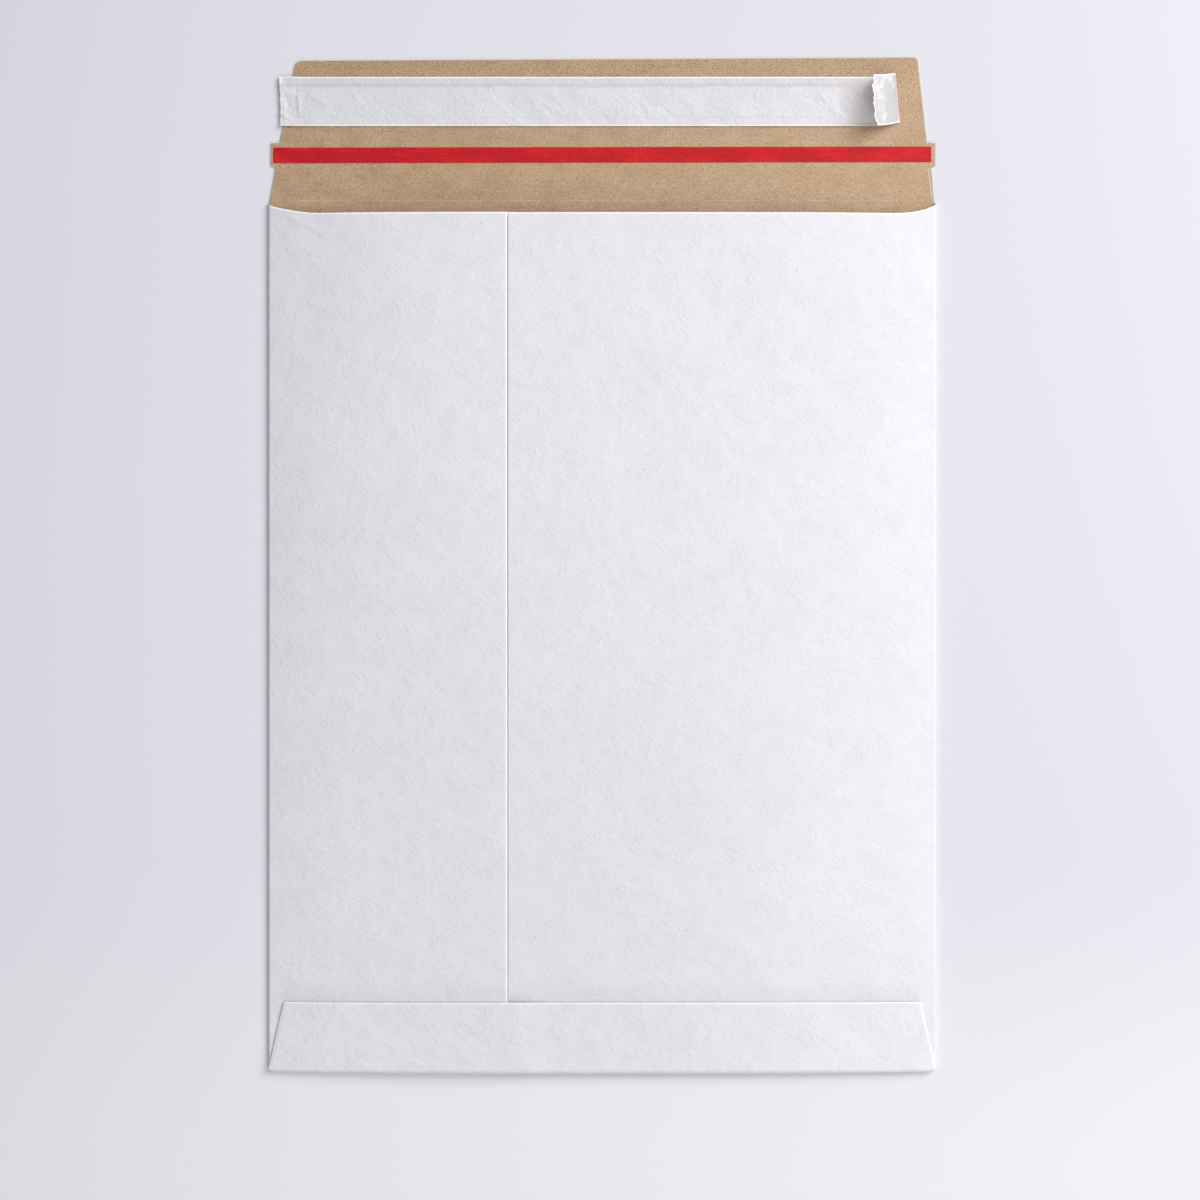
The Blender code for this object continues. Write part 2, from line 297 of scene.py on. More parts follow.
def throat_y(x):
    past = max(0, abs(x) - (HALF_WIDTH - THROAT_CURVE)) / THROAT_CURVE
    return BODY_HEIGHT - mix(THROAT_DROP, THROAT_END_DROP, past ** (1.5 if x < 0 else 2.6))


def rolled(from_edge, reach=0.0008, drop=0.00024):
    """How far the die has rolled a cut edge down, from_edge away from the cut."""
    return -drop * max(0, 1 - from_edge / reach) ** 2


def row_shares():
    """Rows of the tube from bottom to top, close together at the bottom fold and at the mouth."""
    long = BODY_HEIGHT - FOLD_Y
    low = [0, 0.0007, 0.0016, 0.003, 0.005, 0.008]
    high = [0.0105, 0.0075, 0.005, 0.0035, 0.0024, 0.0018, 0.0015, 0.0012, 0.0009, 0.0006, 0.0003, 0]
    middle = even(0.012, long - 0.014, ROW)
    return [place / long for place in low + middle] + [1 - place / long for place in high]


def back_line(x, shares):
    top = BODY_HEIGHT - CREASE_GAP / 2
    return [at_table(x, mix(FOLD_Y, top, share), BACK_Z) for share in shares]


def panel_line(x, height, shares, from_seam):
    low, top = FOLD_Y + PANEL_RELIEF, throat_y(x)
    line = []
    for share in shares:
        y = mix(low, top, share)
        z = height(x, y) + rolled(top - y) + rolled(from_seam)
        line.append(at_table(x, y, z))
    return line


def side_fold_lines(side, lift, shares, count=10):
    lines = []
    for turn in spread(0, 1, count + 1)[1:]:
        low = FOLD_Y + PANEL_RELIEF * turn
        top = BODY_HEIGHT - mix(CREASE_GAP / 2, THROAT_END_DROP, turn)
        line = []
        for share in shares:
            y = mix(low, top, share)
            slope = math.atan(4 * (puff(y) + lift) / SIDE_X)
            angle = (math.pi - slope) * turn
            x = side * (SIDE_X + SIDE_RADIUS * math.sin(angle))
            line.append(at_table(x, y, BACK_Z + SIDE_RADIUS * (1 - math.cos(angle))))
        lines.append(line)
    return lines


def columns(start, end, more=()):
    """Places across a panel, about a column apart, with some more where an edge needs them."""
    places = sorted([place for place in even(-SIDE_X, SIDE_X, COLUMN) if start < place < end] + list(more))
    chosen = [start]
    for place in places:
        if place - chosen[-1] > 0.00012 and end - place > 0.00012:
            chosen.append(place)
    return [*chosen, end]


def back_columns():
    near_fold = [SIDE_X - step for step in (0.0004, 0.0009, 0.0018)]
    return columns(-SIDE_X, SIDE_X, near_fold + [-place for place in near_fold])


def slanted_x(x, y):
    """The bottom flap's ends slant inwards, and only its outer stretches narrow for it."""
    slant = BOTTOM_FLAP_INSET * (y - FOLD_Y) / (BOTTOM_FLAP_HEIGHT - FOLD_Y)
    stretch = 3 * BOTTOM_FLAP_INSET
    past = max(0, abs(x) - (SIDE_X - stretch)) / stretch
    return x + math.copysign(1, x) * (0.0006 * past**8 - slant * past)


def wrapped_line(x):
    """From the back, round the bottom fold and up the bottom flap."""
    top = bottom_flap_z(x, FOLD_Y)
    reach = BOTTOM_REACH + BOTTOM_BOW * (1 - (x / SIDE_X) ** 2)
    corner = smooth((abs(x) - (SIDE_X - 0.0014)) / 0.0014)
    line = []
    for turn in spread(0, 1, 15)[1:]:
        y = FOLD_Y - reach * (1 - 0.75 * corner) * math.sin(math.pi * turn)
        out = math.copysign(0.0006 * corner * smooth(turn * 2.5), x)
        z = mix(BACK_Z, top, (1 - math.cos(math.pi * turn)) / 2)
        line.append(at_table(x + out, y, z))
    heights = even(FOLD_Y + 0.001, BOTTOM_FLAP_HEIGHT - 0.0016, 0.0024)
    heights += [BOTTOM_FLAP_HEIGHT - step for step in (0.0009, 0.0006, 0.0003, 0)]
    for y in heights:
        across = slanted_x(x, y)
        z = bottom_flap_z(across, y) + rolled(BOTTOM_FLAP_HEIGHT - y) + rolled(SIDE_X - abs(x), 0.0009)
        line.append(at_table(across, y, z))
    return line


# The closing flap


def flap_z(x, height):
    """The flap lies on the table and lifts off it by a hair in places."""
    free = smooth((height - 0.004) / 0.02)
    return BACK_Z + 0.00011 * free * (0.5 + 0.5 * ripple(x, height, 0.047, 11.3))


def flap_inset(insets, corner, height):
    """How far the flap's edge has come in at a height: in, out to the tear tab and in again."""
    below, above, at_top = insets
    corners = [(0, 0), (TAB_FOOT, below), (TAB_LOW, 0), (TAB_TOP, 0), (TAB_TOP + TAB_STEP, above)]
    corners.append((FLAP_HEIGHT, at_top))
    for (low, inset_low), (high, inset_high) in zip(corners, corners[1:]):
        if height <= high:
            break
    inset = mix(inset_low, inset_high, (height - low) / (high - low))
    into_corner = max(0, height - (FLAP_HEIGHT - corner))
    return inset + corner - math.sqrt(max(0, corner**2 - into_corner**2))


def flap_heights():
    """Rows of the flap, close together at its crease, its tear tab and its corners."""
    heights = [0, 0.00015, 0.0003, 0.0006, 0.0009, 0.0012, 0.0015, 0.0018, 0.0022, 0.003]
    heights += even(0.005, TAB_FOOT - 0.0004, 0.0024) + [TAB_FOOT, TAB_LOW - 0.0004, TAB_LOW]
    heights += even(TAPE_LOW, TAPE_LOW + TAPE_WIDTH, 0.0015) + [TAB_TOP - 0.0005, TAB_TOP, TAB_TOP + TAB_STEP]
    heights += even(TAB_TOP + 0.0006, FLAP_HEIGHT - FLAP_LEFT_CORNER - 0.0005, 0.003)
    turns = [math.sin(math.radians(angle)) for angle in range(0, 91, 15)]
    return heights + [FLAP_HEIGHT - FLAP_LEFT_CORNER * (1 - turn) for turn in turns]


def flap_point(x, height):
    """A back column carried on over the crease, with the outer columns drawn in to the flap's edge."""
    insets = FLAP_RIGHT_INSETS if x > 0 else FLAP_LEFT_INSETS
    corner = FLAP_RIGHT_CORNER if x > 0 else FLAP_LEFT_CORNER
    edge = FLAP_EDGE_X - flap_inset(insets, corner, height)
    inner = SIDE_X - 0.030
    if abs(x) > inner:
        x = math.copysign(mix(inner, edge, (abs(x) - inner) / (SIDE_X - inner)), x)
    x += FLAP_ASIDE * smooth((height - 0.002) / 0.008)
    skew = FLAP_SKEW * max(0, height - TAB_TOP) / (FLAP_HEIGHT - TAB_TOP) * (x + SIDE_X) / (2 * SIDE_X)
    score = 0.00004 * math.exp(-((height / 0.0005) ** 2))
    return on_flap(x, height + skew, flap_z(x, height) + score)


# Mesh work


def put_in_scene(name, data):
    made = bpy.data.objects.new(name, data)
    bpy.context.scene.collection.objects.link(made)
    return made


def grid_faces(lines, first=0):
    count = len(lines[0])
    faces = []
    for i in range(len(lines) - 1):
        for j in range(count - 1):
            corner = first + i * count + j
            faces.append((corner, corner + count, corner + count + 1, corner + 1))
    return faces


def sheet(name, points, faces, looks, worn_reach=0.0010):
    """A piece of board, paper or film as its middle surface, with the stretch beside its cut edges marked."""
    mesh = bpy.data.meshes.new(name)
    mesh.from_pydata(points, [], faces)
    mesh.validate()
    uses = {}
    for polygon in mesh.polygons:
        for edge in polygon.edge_keys:
            uses[edge] = uses.get(edge, 0) + 1
    rim = sorted({end for edge, count in uses.items() if count == 1 for end in edge})
    near = kdtree.KDTree(len(rim))
    for i, vertex in enumerate(rim):
        near.insert(mesh.vertices[vertex].co, i)
    near.balance()
    marks = mesh.attributes.new("cut_edge", "FLOAT", "POINT")
    for vertex in mesh.vertices:
        marks.data[vertex.index].value = max(0, 1 - near.find(vertex.co)[2] / worn_reach)
    for look in looks:
        mesh.materials.append(look)
    return put_in_scene(name, mesh)


def settle(thing):
    """Makes a piece a plain mesh, with all that its modifiers do to it."""
    bpy.context.view_layer.update()
    graph = bpy.context.evaluated_depsgraph_get()
    made = bpy.data.meshes.new_from_object(thing.evaluated_get(graph), depsgraph=graph)
    made.name = thing.name
    thing.modifiers.clear()
    thing.data = made
    return thing


def thicken(thing, thickness, edge_round, angle=35):
    """Gives a sheet its thickness and takes the sharpness off its cut edges."""
    solid = thing.modifiers.new("Thickness", "SOLIDIFY")
    solid.thickness = thickness
    solid.offset = 0
    solid.use_even_offset = True
    last = len(thing.data.materials) - 1
    solid.material_offset = min(1, last)
    solid.material_offset_rim = last
    bevel = thing.modifiers.new("Worn edges", "BEVEL")
    bevel.width = edge_round
    bevel.segments = 2
    bevel.limit_method = "ANGLE"
    bevel.angle_limit = math.radians(angle)
    settle(thing)
    thing.data.shade_smooth()
    thing.data.set_sharp_from_angle(angle=math.radians(50))
    thing.modifiers.new("Flat faces stay flat", "WEIGHTED_NORMAL")
    return settle(thing)


# Node work


def add(tree, kind, inputs=None, **settings):
    made = tree.nodes.new(kind)
    for key, value in settings.items():
        setattr(made, key, value)
    for key, value in (inputs or {}).items():
        if isinstance(value, bpy.types.NodeSocket):
            tree.links.new(value, made.inputs[key])
        else:
            made.inputs[key].default_value = value
    return made


def maths(tree, operation, *values):
    return add(tree, "ShaderNodeMath", dict(enumerate(values)), operation=operation).outputs[0]


def sum_of(tree, *parts):
    total = parts[0]
    for part in parts[1:]:
        total = maths(tree, "ADD", total, part)
    return total


def scaled(tree, value, amount):
    return maths(tree, "MULTIPLY", value, amount)


def vector_maths(tree, operation, *values):
    return add(tree, "ShaderNodeVectorMath", dict(enumerate(values)), operation=operation).outputs[0]


def ramp(tree, value, low, high, to_low=0.0, to_high=1.0, kind="SMOOTHSTEP"):
    inputs = {"Value": value, "From Min": low, "From Max": high, "To Min": to_low, "To Max": to_high}
    return add(tree, "ShaderNodeMapRange", inputs, interpolation_type=kind).outputs["Result"]


def tint(tree, share, first, second):
    """From the first colour to the second, as share says."""
    inputs = {"Factor": share}
    for place, colour in ((6, first), (7, second)):
        inputs[place] = (*colour, 1) if isinstance(colour, tuple) else colour
    return add(tree, "ShaderNodeMix", inputs, data_type="RGBA").outputs[2]


def over(tree, colour, tone, share, strength):
    """A colour with a tone laid over it where share says, no stronger than strength."""
    return tint(tree, scaled(tree, share, strength), colour, tone)


def new_group(name, inputs, outputs, kind="ShaderNodeTree"):
    """A node group with named sockets, given as name: (socket type, default)."""
    tree = bpy.data.node_groups.new(name, kind)
    for label, (socket, default) in inputs.items():
        made = tree.interface.new_socket(label, in_out="INPUT", socket_type="NodeSocket" + socket)
        if default is not None:
            made.default_value = default
    for label, socket in outputs.items():
        tree.interface.new_socket(label, in_out="OUTPUT", socket_type="NodeSocket" + socket)
    return tree, tree.nodes.new("NodeGroupInput").outputs, tree.nodes.new("NodeGroupOutput").inputs


def placed(tree, group, values):
    return add(tree, "ShaderNodeGroup", values, node_tree=group).outputs


def turned_about_z(tree, place, angle):
    values = {"Vector": place, "Angle": angle}
    return add(tree, "ShaderNodeVectorRotate", values, rotation_type="Z_AXIS").outputs[0]


def stretched(tree, place, along, across):
    scale = add(tree, "ShaderNodeCombineXYZ", {0: along, 1: across, 2: across}).outputs[0]
    return vector_maths(tree, "MULTIPLY", place, scale)


def shifted(tree, place, seed, sideways=0.0):
    step = add(tree, "ShaderNodeCombineXYZ", {0: sideways, 2: seed}).outputs[0]
    return vector_maths(tree, "ADD", place, step)


def make_clouds():
    """Uneven tone of pulp: soft patches, longer one way than the other."""
    tree, given, out = new_group(
        "Paper clouds",
        {"Place": ("Vector", None), "Size": ("Float", 0.01), "Stretch": ("Float", 1.0),
         "Turn": ("Float", 0.0), "Detail": ("Float", 4.0), "Seed": ("Float", 0.0)},
        {"Tone": "Float"},
    )
    turned = turned_about_z(tree, given["Place"], given["Turn"])
    across = maths(tree, "DIVIDE", 1.0, given["Size"])
    along = maths(tree, "DIVIDE", across, given["Stretch"])
    moved = shifted(tree, stretched(tree, turned, along, across), given["Seed"])
    values = {"Vector": moved, "Scale": 1.0, "Detail": given["Detail"], "Roughness": 0.55}
    tree.links.new(add(tree, "ShaderNodeTexNoise", values).outputs["Fac"], out["Tone"])
    return tree


def make_fibres():
    """Short curved fibres lying in one main direction: where they are, and which are pale."""
    tree, given, out = new_group(
        "Paper fibres",
        {"Place": ("Vector", None), "Length": ("Float", 0.002), "Width": ("Float", 0.0005),
         "Turn": ("Float", 0.0), "Share": ("Float", 0.4), "Seed": ("Float", 0.0)},
        {"Fibres": "Float", "Pale": "Float"},
    )
    values = {"Vector": given["Place"], "Scale": 420.0, "Detail": 1.0}
    bent = add(tree, "ShaderNodeTexNoise", values).outputs["Color"]
    from_middle = vector_maths(tree, "SUBTRACT", bent, (0.5, 0.5, 0.5))
    bend = vector_maths(tree, "MULTIPLY", from_middle, (0.0016, 0.0016, 0.0016))
    place = vector_maths(tree, "ADD", given["Place"], bend)
    turned = turned_about_z(tree, place, given["Turn"])
    across = maths(tree, "DIVIDE", 1.0, given["Width"])
    along = maths(tree, "DIVIDE", 1.0, given["Length"])
    moved = shifted(tree, stretched(tree, turned, along, across), given["Seed"])
    cells = add(tree, "ShaderNodeTexVoronoi", {"Vector": moved, "Scale": 1.0, "Randomness": 1.0})
    body = ramp(tree, cells.outputs["Distance"], 0.42, 0.12)
    chance = add(tree, "ShaderNodeSeparateColor", {0: cells.outputs["Color"]})
    there = maths(tree, "LESS_THAN", chance.outputs[0], given["Share"])
    tree.links.new(maths(tree, "MULTIPLY", body, there), out["Fibres"])
    tree.links.new(maths(tree, "GREATER_THAN", chance.outputs[1], 0.5), out["Pale"])
    return tree


def make_felt():
    """Relief of matted fibres: fine ridges that cross each other, most of them lying one way."""
    tree, given, out = new_group(
        "Felted pulp",
        {"Place": ("Vector", None), "Size": ("Float", 0.0012), "Turn": ("Float", -0.6),
         "Seed": ("Float", 0.0)},
        {"Relief": "Float"},
    )
    ridges = []
    for i, (angle, stretch, grow, weight) in enumerate(FELT_LAYERS):
        turned = turned_about_z(tree, given["Place"], maths(tree, "SUBTRACT", angle, given["Turn"]))
        across = maths(tree, "DIVIDE", 1.0 / grow, given["Size"])
        along = maths(tree, "DIVIDE", across, stretch)
        moved = shifted(tree, stretched(tree, turned, along, across), given["Seed"], 7.3 * i)
        values = {"Vector": moved, "Scale": 1.0, "Detail": 2.5, "Roughness": 0.6, "Distortion": 0.6}
        found = add(tree, "ShaderNodeTexNoise", values).outputs["Fac"]
        from_middle = maths(tree, "ABSOLUTE", maths(tree, "SUBTRACT", found, 0.5))
        ridges.append(maths(tree, "MULTIPLY", ramp(tree, from_middle, 0.16, 0.0), weight))
    tree.links.new(sum_of(tree, *ridges), out["Relief"])
    return tree


def make_edge_wear():
    """Where a cut edge shows its pulp: from the marks on the mesh, broken up along the cut."""
    tree, given, out = new_group(
        "Edge wear",
        {"Place": ("Vector", None), "Reach": ("Float", 0.6), "Roughness": ("Float", 0.5)},
        {"Worn": "Float"},
    )
    marks = add(tree, "ShaderNodeAttribute", attribute_name="cut_edge").outputs["Fac"]
    values = {"Vector": given["Place"], "Scale": 900.0, "Detail": 3.0}
    uneven = add(tree, "ShaderNodeTexNoise", values).outputs["Fac"]
    shift = maths(tree, "MULTIPLY", maths(tree, "SUBTRACT", uneven, 0.5), given["Roughness"])
    start = maths(tree, "SUBTRACT", 1.0, given["Reach"])
    worn = ramp(tree, maths(tree, "ADD", marks, shift), start, maths(tree, "ADD", start, 0.15))
    tree.links.new(worn, out["Worn"])
    return tree


def make_marked_line():
    """A straight line on the sheet between two places, seen from above, for creases pressed into it and for
    the painted shade beside the seam.
    """
    tree, given, out = new_group(
        "Marked line",
        {"Place": ("Vector", None), "Start": ("Vector", None), "End": ("Vector", None),
         "Width": ("Float", 0.0005), "Fade": ("Float", 0.01)},
        {"Line": "Float"},
    )
    flat = (1.0, 1.0, 0.0)
    from_start = [vector_maths(tree, "SUBTRACT", given[place], given["Start"]) for place in ("End", "Place")]
    whole, here = [vector_maths(tree, "MULTIPLY", place, flat) for place in from_start]
    dot = add(tree, "ShaderNodeVectorMath", {0: here, 1: whole}, operation="DOT_PRODUCT").outputs["Value"]
    long = add(tree, "ShaderNodeVectorMath", {0: whole}, operation="LENGTH").outputs["Value"]
    share = maths(tree, "DIVIDE", dot, maths(tree, "MULTIPLY", long, long))
    inside = add(tree, "ShaderNodeClamp", {"Value": share}).outputs[0]
    foot = add(tree, "ShaderNodeVectorMath", {0: whole, "Scale": inside}, operation="SCALE").outputs[0]
    away = add(tree, "ShaderNodeVectorMath", {0: here, 1: foot}, operation="DISTANCE").outputs["Value"]
    line = ramp(tree, away, given["Width"], 0.0)
    ends = maths(tree, "MULTIPLY", maths(tree, "MINIMUM", inside, maths(tree, "SUBTRACT", 1.0, inside)), long)
    faded = ramp(tree, ends, 0.0, given["Fade"], 0.12, 1.0)
    tree.links.new(maths(tree, "MULTIPLY", line, faded), out["Line"])
    return tree


CLOUDS = make_clouds()
FIBRES = make_fibres()
EDGE_WEAR = make_edge_wear()
MARKED_LINE = make_marked_line()
FELT = make_felt()


def clouds(tree, place, size, stretch=1.0, turn=0.0, detail=4.0, seed=0.0):
    values = {"Place": place, "Size": size, "Stretch": stretch, "Turn": turn, "Detail": detail, "Seed": seed}
    return placed(tree, CLOUDS, values)["Tone"]


def fibres(tree, place, length, width, turn=0.0, share=0.4, seed=0.0):
    values = {"Place": place, "Length": length, "Width": width, "Turn": turn, "Share": share, "Seed": seed}
    return placed(tree, FIBRES, values)


def felted(tree, place, size, turn, seed=0.0):
    return placed(tree, FELT, {"Place": place, "Size": size, "Turn": turn, "Seed": seed})["Relief"]


def edge_wear(tree, place, reach, roughness):
    return placed(tree, EDGE_WEAR, {"Place": place, "Reach": reach, "Roughness": roughness})["Worn"]


def marked_line(tree, place, start, end, width, fade):
    values = {"Place": place, "Start": (*start, 0.0), "End": (*end, 0.0), "Width": width, "Fade": fade}
    return placed(tree, MARKED_LINE, values)["Line"]


def new_look(name, **finish):
    """A material with its shader, its place on the object, and the finish that is the same all over."""
    look = bpy.data.materials.new(name)
    look.use_nodes = True
    tree = look.node_tree
    shader = tree.nodes["Principled BSDF"]
    for key, value in finish.items():
        shader.inputs[key.replace("_", " ")].default_value = value
    place = tree.nodes.new("ShaderNodeTexCoord").outputs["Object"]
    return look, tree, shader, place


def dressed(tree, shader, colour, roughness, height, depth):
    """Joins what changes over the surface to the shader: colour, roughness and relief."""
    tree.links.new(colour, shader.inputs["Base Color"])
    tree.links.new(ramp(tree, *roughness, "LINEAR"), shader.inputs["Roughness"])
    bump = add(tree, "ShaderNodeBump", {"Height": height, "Distance": depth})
    tree.links.new(bump.outputs[0], shader.inputs["Normal"])


def coated_board():
    look, tree, shader, place = new_look("White coated board", Specular_IOR_Level=0.35)
    broad = clouds(tree, place, 0.014, stretch=1.7, turn=0.6)
    patches = clouds(tree, place, 0.006, stretch=1.4, turn=-0.4, seed=9.0)
    matted = ramp(tree, patches, 0.38, 0.62, 0.25, 1.0)
    felt = felted(tree, place, 0.0016, turn=-0.72)
    fine = felted(tree, place, 0.0009, turn=0.35, seed=5.0)
    specks = fibres(tree, place, 0.0011, 0.0010, share=0.0009, seed=3.0)
    colour = tint(tree, ramp(tree, broad, 0.32, 0.68), *BOARD_TONES)
    # Painted shade: the board is a little darker in the hollows of its felted relief
    colour = over(tree, colour, (0.68, 0.68, 0.73), ramp(tree, felt, 0.55, 0.15), 0.10)
    colour = over(tree, colour, (0.30, 0.28, 0.28), specks["Fibres"], 0.45)
    # Painted shade: a dark line on the front beside the left panel's edge at the seam, where the step throws
    # shadow
    seam_shade = marked_line(tree, place, *SEAM_SHADE_LINE, width=0.0005, fade=0.001)
    where = add(tree, "ShaderNodeSeparateXYZ", {0: place}).outputs
    on_front = maths(tree, "MULTIPLY", ramp(tree, where["Z"], *ABOVE_BACK),
                     ramp(tree, where["Z"], *BELOW_CLOSED_FLAP, 0.0, 0.90))
    colour = tint(tree, maths(tree, "MULTIPLY", seam_shade, on_front), colour, (0.30, 0.30, 0.32))
    # Painted shade: the front is a little darker low down in its middle
    from_middle = maths(tree, "ABSOLUTE", maths(tree, "ADD", where["X"], 0.012))
    painted_shade_low = maths(tree, "MULTIPLY", ramp(tree, from_middle, 0.100, 0.030),
                 ramp(tree, where["Y"], *PAINTED_SHADE_LOW_SPAN, 0.0, 0.26))
    colour = tint(tree, painted_shade_low, colour, SOFT_SHADE)
    # Painted shade: the front grows darker towards the bottom flap's top edge, between its corners
    painted_shade_by_flap = maths(tree, "MULTIPLY", ramp(tree, where["Y"], *PAINTED_SHADE_TO_FLAP_EDGE, 0.0, 0.55),
                        ramp(tree, where["Y"], *OFF_BOTTOM_FLAP))
    between_corners = ramp(tree, maths(tree, "ABSOLUTE", where["X"]), 0.1195, 0.1178)
    shade = maths(tree, "MULTIPLY", maths(tree, "MULTIPLY", painted_shade_by_flap, between_corners), on_front)
    colour = tint(tree, shade, colour, SOFT_SHADE)
    # Cut edges show their whiter pulp; at the mouth and along the bottom flap the band is painted still
    # whiter, and at the mouth wider, as a painted highlight
    at_mouth = ramp(tree, where["Y"], *AT_MOUTH)
    reach = ramp(tree, where["Y"], *AT_MOUTH, 0.44, 0.66)
    worn = edge_wear(tree, place, reach, 0.10)
    highlight_share = maths(tree, "ADD", at_mouth, ramp(tree, where["Y"], *HIGHLIGHT_AT_FLAP_EDGE))
    pulp_white_and_highlight = tint(tree, highlight_share, *PULP_AND_HIGHLIGHT_TONES)
    colour = over(tree, colour, pulp_white_and_highlight, worn, 0.95)
    corner = marked_line(tree, place, *MOUTH_CREASE, width=0.0022, fade=0.010)
    pulp = maths(tree, "MULTIPLY", matted, sum_of(tree, felt, scaled(tree, fine, 0.5)))
    glued_down = ramp(tree, where["Y"], *ON_BOTTOM_FLAP, 2.0, 4.2)
    uneven = maths(tree, "MULTIPLY", glued_down, sum_of(tree, broad, scaled(tree, patches, 0.45)))
    height = sum_of(tree, pulp, uneven, scaled(tree, corner, 1.6))
    dressed(tree, shader, colour, (fine, 0.2, 0.6, 0.45, 0.62), height, 0.00012)
    return look


def kraft_inside():
    look, tree, shader, place = new_look("Brown kraft inside", Specular_IOR_Level=0.15)
    broad = clouds(tree, place, 0.0060, stretch=1.9, detail=5.0)
    grain = clouds(tree, place, 0.00034, stretch=1.6, turn=0.2, seed=7.0)
    felt = felted(tree, place, 0.0010, turn=0.1, seed=4.0)
    long_fibres = fibres(tree, place, 0.0024, 0.00040, turn=0.2, seed=2.0)
    short_fibres = fibres(tree, place, 0.0012, 0.00042, turn=-0.6, share=0.55, seed=6.0)
    flecks = fibres(tree, place, 0.0009, 0.0006, turn=0.9, share=0.10, seed=11.0)
    colour = tint(tree, ramp(tree, broad, 0.3, 0.7), *KRAFT_TONES)
    where = add(tree, "ShaderNodeSeparateXYZ", {0: place}).outputs
    # Painted light: the kraft grows paler towards +X, the side the window lamp lights more
    colour = over(tree, colour, (0.66, 0.482, 0.330), ramp(tree, where["X"], -0.08, 0.13), 0.30)
    near_free_edge = ramp(tree, where["Y"], *AT_FREE_EDGE)
    colour = over(tree, colour, (0.36, 0.230, 0.132), near_free_edge, 0.22)
    coarse = ramp(tree, where["Y"], *COARSER_TO_FREE_EDGE, 0.52, 0.92)
    dark_grain = maths(tree, "MULTIPLY", coarse, ramp(tree, grain, 0.52, 0.34))
    pale_grain = maths(tree, "MULTIPLY", coarse, ramp(tree, grain, 0.50, 0.68, 0.0, 0.80))
    colour = tint(tree, dark_grain, colour, KRAFT_GRAIN[0])
    colour = tint(tree, pale_grain, colour, KRAFT_GRAIN[1])
    colour = over(tree, colour, (0.33, 0.215, 0.128), ramp(tree, felt, 0.50, 0.12), 0.30)
    for strewn, strength in ((long_fibres, 0.50), (short_fibres, 0.45), (flecks, 0.55)):
        shade = tint(tree, strewn["Pale"], *KRAFT_FIBRES)
        colour = over(tree, colour, shade, strewn["Fibres"], strength)
    worn = edge_wear(tree, place, 0.40, 0.4)
    colour = over(tree, colour, (0.66, 0.53, 0.40), worn, 0.30)
    die_line = marked_line(tree, place, *DIE_LINE, width=0.00045, fade=0.002)
    score = marked_line(tree, place, *SCORE_LINE, width=0.00035, fade=0.002)
    colour = over(tree, colour, (0.78, 0.64, 0.49), die_line, 0.75)
    patchy = ramp(tree, broad, 0.40, 0.62, 0.08, 0.42)
    colour = tint(tree, maths(tree, "MULTIPLY", score, patchy), colour, (0.72, 0.58, 0.44))
    height = sum_of(tree, scaled(tree, felt, 0.9), scaled(tree, grain, 0.8),
                    scaled(tree, long_fibres["Fibres"], 0.3), scaled(tree, short_fibres["Fibres"], 0.3),
                    scaled(tree, die_line, 1.6))
    dressed(tree, shader, colour, (felt, 0.2, 0.6, 0.78, 0.92), height, 0.00011)
    return look


def torn_pulp():
    look, tree, shader, place = new_look("Pulp torn up by the die", Specular_IOR_Level=0.15)
    tone = clouds(tree, place, 0.0008, detail=3.0)
    colour = tint(tree, tone, *TORN_TONES)
    dressed(tree, shader, colour, (tone, 0.3, 0.7, 0.8, 0.95), tone, 0.00005)
    return look


def cut_pulp():
    look, tree, shader, place = new_look("Cut edge of the board", Specular_IOR_Level=0.2)
    layers = clouds(tree, place, 0.00035, stretch=4.0, detail=3.0)
    colour = tint(tree, ramp(tree, layers, 0.3, 0.7), *CUT_TONES)
    dressed(tree, shader, colour, (layers, 0.3, 0.7, 0.7, 0.9), layers, 0.00008)
    return look


def red_film():
    gloss = {"Specular_IOR_Level": 0.22, "Coat_Weight": 0.04, "Coat_Roughness": 0.25}
    look, tree, shader, place = new_look("Red tear tape", **gloss)
    broad = clouds(tree, place, 0.006, stretch=3.0, detail=3.0)
    fine = clouds(tree, place, 0.0009, stretch=6.0, detail=3.0, seed=2.0)
    grain = clouds(tree, place, 0.00048, stretch=1.5, detail=3.0, seed=6.0)
    show_through = fibres(tree, place, 0.0028, 0.0006, turn=0.1, share=0.3)
    colour = tint(tree, ramp(tree, broad, 0.38, 0.62), *RED_TONES)
    colour = over(tree, colour, (0.45, 0.0024, 0.0064), ramp(tree, fine, 0.42, 0.70), 0.60)
    colour = tint(tree, ramp(tree, grain, 0.50, 0.34, 0.0, 0.28), colour, RED_GRAIN[0])
    colour = tint(tree, ramp(tree, grain, 0.50, 0.68, 0.0, 0.32), colour, RED_GRAIN[1])
    colour = over(tree, colour, (0.74, 0.048, 0.058), show_through["Fibres"], 0.22)
    height = sum_of(tree, scaled(tree, fine, 0.6), scaled(tree, grain, 0.5),
                    scaled(tree, show_through["Fibres"], 0.4))
    dressed(tree, shader, colour, (fine, 0.3, 0.7, 0.36, 0.52), height, 0.00008)
    return look


